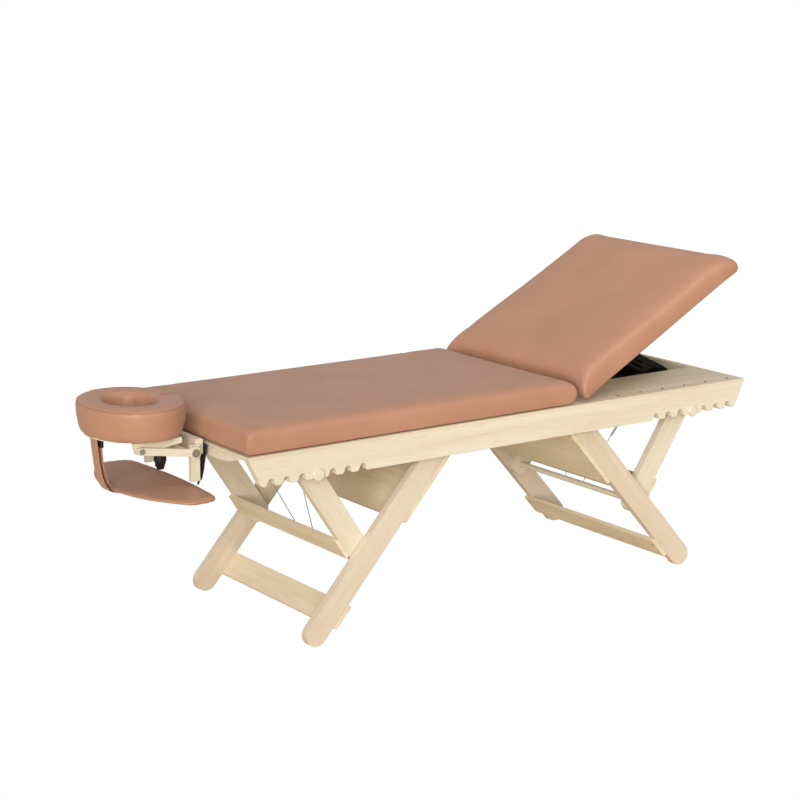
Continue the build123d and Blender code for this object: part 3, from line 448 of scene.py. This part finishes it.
def fill_backrest(mesh):
    """Raises the crown, most near the hinge, and fills the corners, most at half thickness."""
    crown_place, crown_base, crown_rise = 0.09, 0.03, 0.010
    crown_ahead, crown_behind = 0.55, 0.14
    corner_reach, corner_least, corner_most, thickness = 0.10, 0.002, 0.017, 0.074
    near_end = min(v.co.x for v in mesh.vertices)
    long_end = max(v.co.x for v in mesh.vertices)
    wide = max(v.co.y for v in mesh.vertices)
    for v in mesh.vertices:
        if v.co.z > crown_base:
            fade = crown_ahead if v.co.x > crown_place else crown_behind
            away = min(1.0, abs(v.co.x - crown_place) / fade)
            rise = crown_rise * (0.5 + 0.5 * cos(pi * away))
            v.co.z += rise * min(1.0, (v.co.z - crown_base) / crown_base)
        end, way = (long_end, 1) if v.co.x > (long_end + near_end) / 2 else (near_end, -1)
        side = 1 if v.co.y > 0 else -1
        far = sqrt((v.co.x - end) ** 2 + (v.co.y - side * wide) ** 2)
        belly = sin(pi * min(1.0, max(0.0, v.co.z / thickness)))
        full = max(0.0, 1 - far / corner_reach) ** 1.3 * (corner_least + corner_most * belly)
        v.co.x += way * full
        v.co.y += side * full * 0.7


seat_on_board(back.data)
fill_backrest(back.data)
back.data.transform(to_world)
shaded(back)

for pad, node, body in ((main, "main_cushion", "frame"), (back, "backrest_cushion", "backrest")):
    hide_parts(node)
    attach(pad, body)

# Platform plate, drawn smaller so that the face cushion hides its rim
PLATE_SHARE = 0.90
plate_form = NODES["platform_plate"].data.copy()
plate_x = [v.co.x for v in plate_form.vertices]
plate_middle = (min(plate_x) + max(plate_x)) / 2
for v in plate_form.vertices:
    v.co.x = plate_middle + (v.co.x - plate_middle) * PLATE_SHARE
    v.co.y *= PLATE_SHARE
plate = link("platform_plate_inset", plate_form, M["deck"], False)
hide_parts("platform_plate")
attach(plate, "cradle_platform")

# Face cushion
RING_FOOT = 0.6322
ring_centre = Vector((TABLE_X - 1.096, 0.0, 0.6745))


def shape_ring(mesh):
    """Pinches the ring's table side and pushes it out, and hangs the foot over the plate."""
    pinch_angle, pinch_from, pinch_depth = 0.16, 0.665, 0.007
    foot_from, foot_fade, foot_drop = 0.652, 0.018, 0.010
    lean_from, lean_fade, lean_push = 0.10, 0.03, 0.006
    for v in mesh.vertices:
        d = v.co - ring_centre
        pinch = max(0.0, 1 - abs(atan2(d.y, d.x)) / pinch_angle)
        if pinch > 0 and v.co.z > pinch_from:
            v.co.z -= pinch_depth * pinch ** 1.5
        if v.co.z < foot_from:
            v.co.z -= foot_drop * min(1.0, (foot_from - v.co.z) / foot_fade)
        elif d.x > lean_from:
            v.co.x += lean_push * min(1.0, (d.x - lean_from) / lean_fade)


ring = puff(link("face_cushion_pad", merged("face_cushion"), M["skin"]),
            voxel=0.0045, cap=0.0035, shrink=0.0025)
for v in ring.data.vertices:
    v.co.z = max(v.co.z, RING_FOOT)
smoothed(ring)
shape_ring(ring.data)
shaded(ring)
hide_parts("face_cushion")
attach(ring, "cradle_platform")


# Armrest pad
def shape_arm_pad(mesh):
    """Carries the pad's front edge further out, widens it and thins it from below."""
    front_from, front_fade = 0.985, 0.10
    front_push, front_widening, front_lift, lift_fade = 0.018, 0.03, 0.006, 0.015
    low = min(v.co.z for v in mesh.vertices)
    for v in mesh.vertices:
        front = min(1.0, max(0.0, (TABLE_X - v.co.x - front_from) / front_fade))
        front *= front * (3 - 2 * front)
        v.co.x -= front_push * front
        v.co.y *= 1 + front_widening * front
        v.co.z += front_lift * front * max(0.0, 1 - (v.co.z - low) / lift_fade)


arm_pad = puff(link("armrest_cushion_pad", merged("armrest_pad"), M["skin"]),
               voxel=0.0040, cap=0.0030, shrink=0.0015)
smoothed(arm_pad)
shape_arm_pad(arm_pad.data)
shaded(arm_pad)
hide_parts("armrest_pad")
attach(arm_pad, "cradle_arms")


# Seams
def seam(name, pad, body, points, radius=0.0011, closed=False):
    line = laid_on(tree_of(pad), resample(points, 0.008, closed), radius * 0.25)
    obj = tube(name, [line], radius, M["seam"], closed=closed)
    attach(obj, body)
    return obj


def arc(centre, x_radius, y_radius, z, start, stop, count):
    return [Vector((centre.x + x_radius * cos(a), centre.y + y_radius * sin(a), z))
            for a in (start + (stop - start) * i / (count - 1) for i in range(count))]


outer_line = arc(ring_centre, x_radius=0.152, y_radius=0.190, z=0.7165,
                 start=0, stop=2 * pi * 63 / 64, count=64)
seam("face_ring_outer_seam", ring, "cradle_platform", outer_line, radius=0.0013, closed=True)
seam("face_ring_pinch_seam", ring, "cradle_platform",
     [ring_centre + Vector((0.060, 0, -0.01)), ring_centre + Vector((0.062, 0, 0.030)),
      ring_centre + Vector((0.105, 0, 0.050)), ring_centre + Vector((0.146, 0, 0.044)),
      ring_centre + Vector((0.152, 0, -0.01))])

CORNER_BACK, CORNER_HALF = 0.9275, 0.3575
CORNER_HEIGHTS = (0.003, 0.020, 0.040, 0.058)
for sign, word in ((-1, "near"), (1, "far")):
    corner = Vector((TABLE_X - CORNER_BACK, sign * CORNER_HALF, DECK_TOP))
    seam("main_corner_seam_" + word, main, "frame",
         [corner + Vector((0, 0, z)) for z in CORNER_HEIGHTS], radius=0.0010)


# Straps
def strip(name, lines, width, thickness, mat):
    """A flat band along a line of points in the XZ plane, centred on each line's own y."""
    mesh = bmesh.new()
    for line in lines:
        rows = []
        for i, p in enumerate(line):
            run = line[min(i + 1, len(line) - 1)] - line[max(i - 1, 0)]
            normal = Vector((-run.z, 0, run.x)).normalized() * thickness / 2
            half = (width(i / (len(line) - 1)) if callable(width) else width) / 2
            across = Vector((0, half, 0))
            rows.append([mesh.verts.new(q) for q in (p - across - normal, p + across - normal,
                                                     p + across + normal, p - across + normal)])
        for a, b in zip(rows, rows[1:]):
            for k in range(4):
                mesh.faces.new((a[k], a[(k + 1) % 4], b[(k + 1) % 4], b[k]))
        mesh.faces.new(rows[0][::-1])
        mesh.faces.new(rows[-1])
    bmesh.ops.recalc_face_normals(mesh, faces=mesh.faces)
    result = bpy.data.meshes.new(name)
    mesh.to_mesh(result)
    mesh.free()
    obj = link(name, result, mat)
    bevel = obj.modifiers.new("bevel", "BEVEL")
    bevel.width = thickness * 0.3
    bevel.segments = 2
    bevel.limit_method = "ANGLE"
    bevel.angle_limit = radians(50)
    finished(obj)
    shaded(obj)
    return obj


def flat_line(points):
    return resample([Vector((TABLE_X + x, 0, z)) for x, z in points], 0.006)


outer_path = flat_line([(-1.2120, 0.6195), (-1.2085, 0.585), (-1.2050, 0.550), (-1.2005, 0.520),
                        (-1.1935, 0.492), (-1.1855, 0.474), (-1.1780, 0.4655), (-1.1680, 0.4600),
                        (-1.1500, 0.4552), (-1.1400, 0.4545)])
inner_path = flat_line([(-1.1640, 0.4700), (-1.1740, 0.4790), (-1.1820, 0.4930), (-1.1880, 0.5150),
                        (-1.1930, 0.5400), (-1.1955, 0.5650), (-1.1965, 0.5900), (-1.1955, 0.6190)])
front_strap = strip("armrest_hanging_strap", [outer_path, inner_path], width=0.040,
                    thickness=0.0026, mat=M["skin"])
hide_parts("armrest_front_strap")
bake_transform(front_strap)

buckle_path = flat_line([(-1.1958, 0.6145), (-1.1962, 0.5890)])
buckle = strip("armrest_strap_buckle", [buckle_path], width=0.046, thickness=0.0085,
               mat=M["plastic"])
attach(buckle, "cradle_platform")


def webbing_width(t):
    """The webbing narrows on its way down and ends in a thin tail."""
    return 0.034 - 0.016 * t - 0.010 * (t > 0.85)


rear_path = flat_line([(-0.9330, 0.589), (-0.9360, 0.560), (-0.9410, 0.520), (-0.9460, 0.495),
                       (-0.9560, 0.4715)])
rear_lines = [[p + Vector((0, y, 0)) for p in rear_path] for y in (-0.125, 0.125)]
rear = strip("armrest_rear_webbing", rear_lines, width=webbing_width, thickness=0.0018,
             mat=M["web"])
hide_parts("armrest_rear_straps")
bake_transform(rear)

# Plates between the arms of the prop
PROP_ALONG, PROP_BELOW = 0.29667, 0.014
COMB_COUNT, COMB_STEP, COMB_START = 5, 0.034, 0.131
prop_top = to_world @ Vector((PROP_ALONG, 0, -PROP_BELOW))
prop_foot = Vector((2 * prop_top.x - HINGE.x, 0, HINGE.z))
along = (prop_foot - prop_top).normalized()


def comb_plate(index):
    """The lower end of a prop arm, moved in from the near arm by a number of steps."""
    plate = bmesh.new()
    plate.from_mesh(NODES["prop_arm_near"].data)
    bmesh.ops.remove_doubles(plate, verts=plate.verts, dist=1e-5)
    bmesh.ops.bisect_plane(plate, geom=plate.verts[:] + plate.edges[:] + plate.faces[:],
                           plane_co=prop_top + along * COMB_START, plane_no=along,
                           clear_inner=True)
    bmesh.ops.holes_fill(plate, edges=[e for e in plate.edges if e.is_boundary])
    bmesh.ops.translate(plate, verts=plate.verts, vec=Vector((0, COMB_STEP * (index + 1), 0)))
    result = bpy.data.meshes.new("comb_plate")
    plate.to_mesh(result)
    plate.free()
    return result


comb = bmesh.new()
for index in range(COMB_COUNT):
    one = comb_plate(index)
    comb.from_mesh(one)
    bpy.data.meshes.remove(one)
comb_mesh = bpy.data.meshes.new("prop_comb")
comb.to_mesh(comb_mesh)
comb.free()
comb_obj = link("prop_comb", comb_mesh, M["black"], False)
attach(comb_obj, "prop")

# Tray of sheet steel under the racks: its floor, two sides and an end
SHEET, TRAY_DEPTH, TRAY_PAST_RACK = 0.0015, 0.0205, 0.02
TRAY_END_TOP = DECK_TOP - 0.0085
near_rack = [v.co for v in NODES["rack_near"].data.vertices]
tray_start = min(p.x for p in near_rack) - TRAY_PAST_RACK
tray_end = max(p.x for p in near_rack) + TRAY_PAST_RACK
tray_half = abs(min(p.y for p in near_rack))
tray_top = min(p.z for p in near_rack)
tray_floor = tray_top - TRAY_DEPTH
tray_walls = (
    ((tray_start, -tray_half, tray_floor - SHEET), (tray_end, tray_half, tray_floor)),
    ((tray_start, -tray_half, tray_floor), (tray_end, SHEET - tray_half, tray_top)),
    ((tray_start, tray_half - SHEET, tray_floor), (tray_end, tray_half, tray_top)),
    ((tray_end - SHEET, SHEET - tray_half, tray_floor),
     (tray_end, tray_half - SHEET, TRAY_END_TOP)),
)
tray = bmesh.new()
for low, high in ((Vector(a), Vector(b)) for a, b in tray_walls):
    cube = bmesh.ops.create_cube(tray, size=1.0)["verts"]
    bmesh.ops.scale(tray, verts=cube, vec=high - low)
    bmesh.ops.translate(tray, verts=cube, vec=(high + low) / 2)
tray_mesh = bpy.data.meshes.new("rack_tray")
tray.to_mesh(tray_mesh)
tray.free()
tray_obj = link("rack_tray", tray_mesh, M["black"], False)
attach(tray_obj, "frame")

# Stays of the leg sets
ROD_OFFSET, ROD_HEIGHT = 0.518564, 0.233246
EYE_OFFSET, EYE_STANDOFF = 0.670, 0.0068
START_AHEAD, START_HALF, START_ABOVE = 0.004, 0.045, 0.0095
COIL_START, COIL_END, COIL_TURNS, COIL_SIDES, COIL_RADIUS = 0.52, 0.86, 22, 8, 0.0032


def stay_line(low, high):
    """A wire between two points, with a coil in its upper half."""
    run = high - low
    u = run.normalized().orthogonal().normalized()
    w = run.normalized().cross(u)
    line = [low.copy(), low + run * COIL_START]
    for i in range(COIL_TURNS * COIL_SIDES + 1):
        a = 2 * pi * i / COIL_SIDES
        t = COIL_START + (COIL_END - COIL_START) * i / (COIL_TURNS * COIL_SIDES)
        line.append(low + run * t + COIL_RADIUS * (cos(a) * u + sin(a) * w))
    return line + [low + run * COIL_END, high]


for word, side, eye_half, eye_height in (("head", -1, 0.160, 0.5765), ("foot", 1, 0.135, 0.5385)):
    rod = Vector((TABLE_X + side * ROD_OFFSET, 0, ROD_HEIGHT))
    paths = []
    for sign in (-1, 1):
        low = rod + Vector((side * START_AHEAD, sign * START_HALF, START_ABOVE))
        high = Vector((TABLE_X + side * EYE_OFFSET, sign * eye_half, eye_height))
        paths.append(stay_line(low, high - (high - low).normalized() * EYE_STANDOFF))
    stays = tube(word + "_return_stays", paths, 0.0011, M["wire"], 6)
    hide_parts(word + "_springs")
    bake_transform(stays)


# Screws, placed by a small node tree
def instancer(name, maker, mat):
    """A node tree that puts the maker's mesh on points, each turned to its facing."""
    tree = bpy.data.node_groups.new(name, "GeometryNodeTree")
    tree.interface.new_socket("Geometry", in_out="INPUT", socket_type="NodeSocketGeometry")
    tree.interface.new_socket("Geometry", in_out="OUTPUT", socket_type="NodeSocketGeometry")
    start = tree.nodes.new("NodeGroupInput")
    end = tree.nodes.new("NodeGroupOutput")
    info = tree.nodes.new("GeometryNodeObjectInfo")
    info.inputs["Object"].default_value = maker
    points = tree.nodes.new("GeometryNodeMeshToPoints")
    facing = tree.nodes.new("GeometryNodeInputNamedAttribute")
    facing.data_type = "FLOAT_VECTOR"
    facing.inputs["Name"].default_value = "facing"
    align = tree.nodes.new("FunctionNodeAlignRotationToVector")
    place = tree.nodes.new("GeometryNodeInstanceOnPoints")
    real = tree.nodes.new("GeometryNodeRealizeInstances")
    paint = tree.nodes.new("GeometryNodeSetMaterial")
    paint.inputs["Material"].default_value = mat
    links = tree.links
    links.new(start.outputs["Geometry"], points.inputs["Mesh"])
    links.new(points.outputs["Points"], place.inputs["Points"])
    links.new(info.outputs["Geometry"], place.inputs["Instance"])
    links.new(facing.outputs["Attribute"], align.inputs["Vector"])
    links.new(align.outputs["Rotation"], place.inputs["Rotation"])
    links.new(place.outputs["Instances"], real.inputs["Geometry"])
    links.new(real.outputs["Geometry"], paint.inputs["Geometry"])
    links.new(paint.outputs["Geometry"], end.inputs["Geometry"])
    return tree


def screw_maker():
    """A pan-head screw with a round recess, its seat at the origin and its axis along Z."""
    mesh = bmesh.new()
    radius, rise, sides = 0.0038, 0.0016, 20
    profile = [(radius, 0.0), (radius, rise * 0.35), (radius * 0.85, rise * 0.8),
               (radius * 0.5, rise), (radius * 0.3, rise), (radius * 0.22, rise * 0.45)]
    rings = []
    for r, z in profile:
        rings.append([mesh.verts.new((r * cos(2 * pi * k / sides), r * sin(2 * pi * k / sides), z))
                      for k in range(sides)])
    for a, b in zip(rings, rings[1:]):
        for k in range(sides):
            mesh.faces.new((a[k], a[(k + 1) % sides], b[(k + 1) % sides], b[k]))
    mesh.faces.new(rings[-1])
    mesh.faces.new(rings[0][::-1])
    result = bpy.data.meshes.new("screw_maker")
    mesh.to_mesh(result)
    mesh.free()
    return link("screw_maker", result, M["steel"])


maker = screw_maker()
screw_tree = instancer("screws", maker, M["steel"])


def screws(name, spots, node, body, mat):
    """Screw heads at (place, facing) spots, in the place of a node's plain ones."""
    mesh = bpy.data.meshes.new(name)
    mesh.from_pydata([p for p, _ in spots], [], [])
    facing = mesh.attributes.new("facing", "FLOAT_VECTOR", "POINT")
    for i, (_, n) in enumerate(spots):
        facing.data[i].vector = n
    obj = link(name, mesh, M["steel"], False)
    mod = obj.modifiers.new("screws", "NODES")
    mod.node_group = screw_tree
    finished(obj)
    dress(obj, mat)
    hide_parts(node)
    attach(obj, body)
    return obj


def heads_of(node, facing):
    """The seats of the screws in a CAD node: the middle of each solid's end behind its facing."""
    mesh = bmesh.new()
    mesh.from_mesh(NODES[node].data)
    bmesh.ops.remove_doubles(mesh, verts=mesh.verts, dist=1e-5)
    seen = set()
    spots = []
    for v in mesh.verts:
        if v in seen:
            continue
        stack, group = [v], []
        seen.add(v)
        while stack:
            a = stack.pop()
            group.append(a.co.copy())
            for e in a.link_edges:
                b = e.other_vert(a)
                if b not in seen:
                    seen.add(b)
                    stack.append(b)
        lows = min(p.dot(facing) for p in group)
        seat = [p for p in group if p.dot(facing) < lows + 1e-5]
        spots.append((sum(seat, Vector()) / len(seat), facing))
    mesh.free()
    return spots


screws("deck_screw_heads", heads_of("deck_screws", Vector((0, 0, 1))), "deck_screws", "frame",
       M["black"])
for word, side in (("head", -1), ("foot", 1)):
    facing = Vector((-side * sin(LEG_TURN), 0, -cos(LEG_TURN)))
    screws(word + "_leg_screw_heads", heads_of(word + "_leg_screws", facing),
           word + "_leg_screws", word + "_legs", M["steel"])
bpy.data.objects.remove(maker)

# Floor, world and lamps
floor_mesh = bpy.data.meshes.new("floor")
floor_mesh.from_pydata([(-30, -30, 0), (30, -30, 0), (30, 30, 0), (-30, 30, 0)], [], [(0, 1, 2, 3)])
floor_mat = bpy.data.materials.new("studio_floor")
floor_mat.use_nodes = True
nodes = floor_mat.node_tree.nodes
nodes.clear()
out = nodes.new("ShaderNodeOutputMaterial")
mix = nodes.new("ShaderNodeMixShader")
seen_by = nodes.new("ShaderNodeLightPath")
glow = nodes.new("ShaderNodeEmission")
glow.inputs["Color"].default_value = (1, 1, 1, 1)
matt = nodes.new("ShaderNodeBsdfDiffuse")
matt.inputs["Color"].default_value = (0.70, 0.60, 0.45, 1)
floor_links = floor_mat.node_tree.links
floor_links.new(seen_by.outputs["Is Camera Ray"], mix.inputs["Fac"])
floor_links.new(matt.outputs["BSDF"], mix.inputs[1])
floor_links.new(glow.outputs["Emission"], mix.inputs[2])
floor_links.new(mix.outputs["Shader"], out.inputs["Surface"])
floor = link("floor", floor_mesh, floor_mat, False)
floor.location.z = -0.0005

world = bpy.data.worlds.new("studio")
bpy.context.scene.world = world
world.use_nodes = True
wn = world.node_tree.nodes
wn.clear()
w_out = wn.new("ShaderNodeOutputWorld")
w_mix = wn.new("ShaderNodeMixShader")
w_path = wn.new("ShaderNodeLightPath")
w_light = wn.new("ShaderNodeBackground")
w_light.inputs["Color"].default_value = (1.0, 0.99, 0.97, 1)
w_light.inputs["Strength"].default_value = 0.45
w_seen = wn.new("ShaderNodeBackground")
w_seen.inputs["Color"].default_value = (1, 1, 1, 1)
wl = world.node_tree.links
wl.new(w_path.outputs["Is Camera Ray"], w_mix.inputs["Fac"])
wl.new(w_light.outputs["Background"], w_mix.inputs[1])
wl.new(w_seen.outputs["Background"], w_mix.inputs[2])
wl.new(w_mix.outputs["Shader"], w_out.inputs["Surface"])


def lamp(name, kind, place, target, energy, **values):
    data = bpy.data.lights.new(name, kind)
    data.energy = energy
    for key, value in values.items():
        setattr(data, key, value)
    obj = bpy.data.objects.new(name, data)
    bpy.context.scene.collection.objects.link(obj)
    obj.location = place
    obj.rotation_mode = "QUATERNION"
    obj.rotation_quaternion = (Vector(target) - Vector(place)).to_track_quat("-Z", "Y")
    return obj


key = lamp("key_light", "SUN", (-3.3, -3.6, 1.5), (0.1, 0, 0.5), 3.1, angle=radians(35))
softbox = lamp("softbox", "AREA", (0.3, -2.2, 4.2), (0.1, 0, 0.5), 45, size=2.0)

scene = bpy.context.scene
scene.view_settings.view_transform = "Standard"
scene.view_settings.look = "None"
